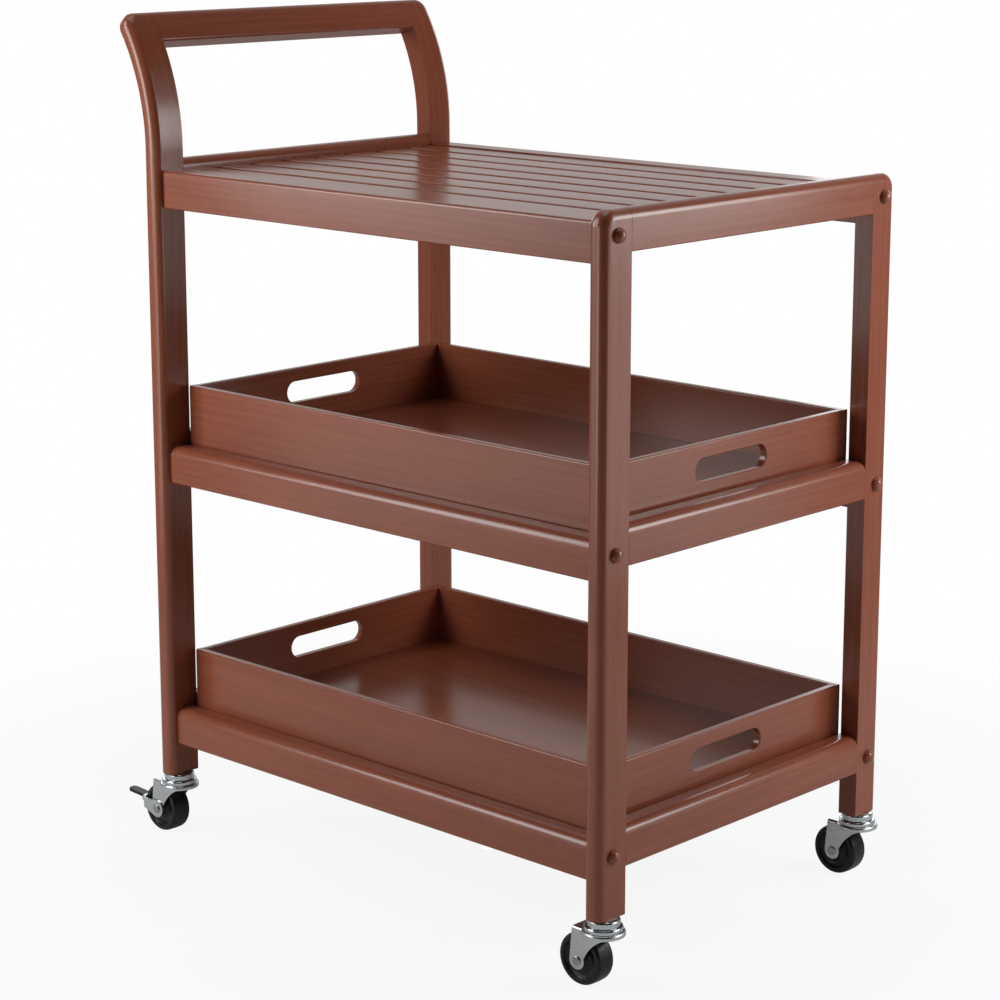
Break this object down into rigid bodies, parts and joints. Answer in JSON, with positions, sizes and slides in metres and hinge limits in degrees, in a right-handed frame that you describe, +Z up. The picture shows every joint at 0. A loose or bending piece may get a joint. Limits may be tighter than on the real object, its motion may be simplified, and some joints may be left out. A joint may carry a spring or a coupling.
{
  "type": "bar cart",
  "caption": "Dark wooden bar cart with a slatted deck, lift-out trays under it, a grip rail between bent posts, and swivel casters with brake pedals at the handle end.",
  "frame": {"origin": "on the floor, at the middle of the box that the cart fills as it stands", "axes": "+X along the cart from the handle end to the plain end, +Y across it to the far side, +Z up"},
  "size_m": [0.7012, 0.4326, 0.8632],
  "materials": {
    "stained_wood": "satin",
    "hidden_wood": "matte",
    "raw_wood": "matte",
    "bright_zinc": "polished",
    "satin_zinc": "satin",
    "plated_steel": "satin",
    "black_rubber": "satin",
    "dark_plastic": "matte"
  },
  "bodies": {
    "frame": {"post_plain_near": "stained_wood", "post_plain_far": "stained_wood", "post_handle_near": "stained_wood", "post_handle_far": "stained_wood", "grip_rail": "stained_wood", "end_rail_plain_low": "stained_wood", "end_rail_plain_mid": "stained_wood", "end_rail_plain_top": "stained_wood", "end_rail_handle_low": "stained_wood", "end_rail_handle_mid": "stained_wood", "end_rail_handle_top": "stained_wood", "side_rail_near_low": "stained_wood", "side_rail_near_mid": "stained_wood", "side_rail_near_top": "stained_wood", "side_rail_far_low": "stained_wood", "side_rail_far_mid": "stained_wood", "side_rail_far_top": "stained_wood", "deck_slat_1": "stained_wood", "deck_slat_2": "stained_wood", "deck_slat_3": "stained_wood", "deck_slat_4": "stained_wood", "deck_slat_5": "stained_wood", "deck_slat_6": "stained_wood", "deck_slat_7": "stained_wood", "deck_slat_8": "stained_wood", "deck_battens": "hidden_wood", "tray_ledges": "hidden_wood", "rail_bolts": "plated_steel", "bolt_plugs": "stained_wood", "rail_dowels": "raw_wood", "caster_plain_near_mount": "bright_zinc", "caster_plain_far_mount": "bright_zinc", "caster_handle_near_mount": "bright_zinc", "caster_handle_far_mount": "bright_zinc"},
    "tray_low": {"tray_low_wall_near": "stained_wood", "tray_low_wall_far": "stained_wood", "tray_low_wall_plain": "stained_wood", "tray_low_wall_handle": "stained_wood", "tray_low_floor": "stained_wood"},
    "tray_mid": {"tray_mid_wall_near": "stained_wood", "tray_mid_wall_far": "stained_wood", "tray_mid_wall_plain": "stained_wood", "tray_mid_wall_handle": "stained_wood", "tray_mid_floor": "stained_wood"},
    "caster_plain_near_swivel": {"caster_plain_near_fork": "satin_zinc", "caster_plain_near_axle": "plated_steel"},
    "caster_plain_near_roller": {"caster_plain_near_wheel": "black_rubber"},
    "caster_plain_far_swivel": {"caster_plain_far_fork": "satin_zinc", "caster_plain_far_axle": "plated_steel"},
    "caster_plain_far_roller": {"caster_plain_far_wheel": "black_rubber"},
    "caster_handle_near_swivel": {"caster_handle_near_fork": "satin_zinc", "caster_handle_near_axle": "plated_steel", "caster_handle_near_saddle": "satin_zinc"},
    "caster_handle_near_roller": {"caster_handle_near_wheel": "black_rubber"},
    "caster_handle_near_brake": {"caster_handle_near_pedal": "dark_plastic"},
    "caster_handle_far_swivel": {"caster_handle_far_fork": "satin_zinc", "caster_handle_far_axle": "plated_steel", "caster_handle_far_saddle": "satin_zinc"},
    "caster_handle_far_roller": {"caster_handle_far_wheel": "black_rubber"},
    "caster_handle_far_brake": {"caster_handle_far_pedal": "dark_plastic"}
  },
  "joints": [
    {"name": "tray_low_lift", "type": "slide", "parent": "frame", "child": "tray_low", "axis": [0, 0, 1], "range_m": [0, 0.15]},
    {"name": "tray_mid_lift", "type": "slide", "parent": "frame", "child": "tray_mid", "axis": [0, 0, 1], "range_m": [0, 0.15]},
    {"name": "caster_plain_near_swivel_turn", "type": "hinge", "parent": "frame", "child": "caster_plain_near_swivel", "pos_m": [0.32995, -0.1957, 0.06], "axis": [0, 0, 1], "continuous": true},
    {"name": "caster_plain_near_wheel_turn", "type": "hinge", "parent": "caster_plain_near_swivel", "child": "caster_plain_near_roller", "pos_m": [0.30945, -0.1957, 0.02545], "axis": [0, 1, 0], "continuous": true},
    {"name": "caster_plain_far_swivel_turn", "type": "hinge", "parent": "frame", "child": "caster_plain_far_swivel", "pos_m": [0.32995, 0.1957, 0.06], "axis": [0, 0, 1], "continuous": true},
    {"name": "caster_plain_far_wheel_turn", "type": "hinge", "parent": "caster_plain_far_swivel", "child": "caster_plain_far_roller", "pos_m": [0.30945, 0.1957, 0.02545], "axis": [0, 1, 0], "continuous": true},
    {"name": "caster_handle_near_swivel_turn", "type": "hinge", "parent": "frame", "child": "caster_handle_near_swivel", "pos_m": [-0.26905, -0.1957, 0.06], "axis": [0, 0, 1], "continuous": true},
    {"name": "caster_handle_near_wheel_turn", "type": "hinge", "parent": "caster_handle_near_swivel", "child": "caster_handle_near_roller", "pos_m": [-0.28955, -0.1957, 0.02545], "axis": [0, 1, 0], "continuous": true},
    {"name": "caster_handle_near_pedal_press", "type": "hinge", "parent": "caster_handle_near_swivel", "child": "caster_handle_near_brake", "pos_m": [-0.31815, -0.1957, 0.02905], "axis": [0, -1, 0], "range_deg": [0, 25]},
    {"name": "caster_handle_far_swivel_turn", "type": "hinge", "parent": "frame", "child": "caster_handle_far_swivel", "pos_m": [-0.26905, 0.1957, 0.06], "axis": [0, 0, 1], "continuous": true},
    {"name": "caster_handle_far_wheel_turn", "type": "hinge", "parent": "caster_handle_far_swivel", "child": "caster_handle_far_roller", "pos_m": [-0.28955, 0.1957, 0.02545], "axis": [0, 1, 0], "continuous": true},
    {"name": "caster_handle_far_pedal_press", "type": "hinge", "parent": "caster_handle_far_swivel", "child": "caster_handle_far_brake", "pos_m": [-0.31815, 0.1957, 0.02905], "axis": [0, -1, 0], "range_deg": [0, 25]}
  ]
}
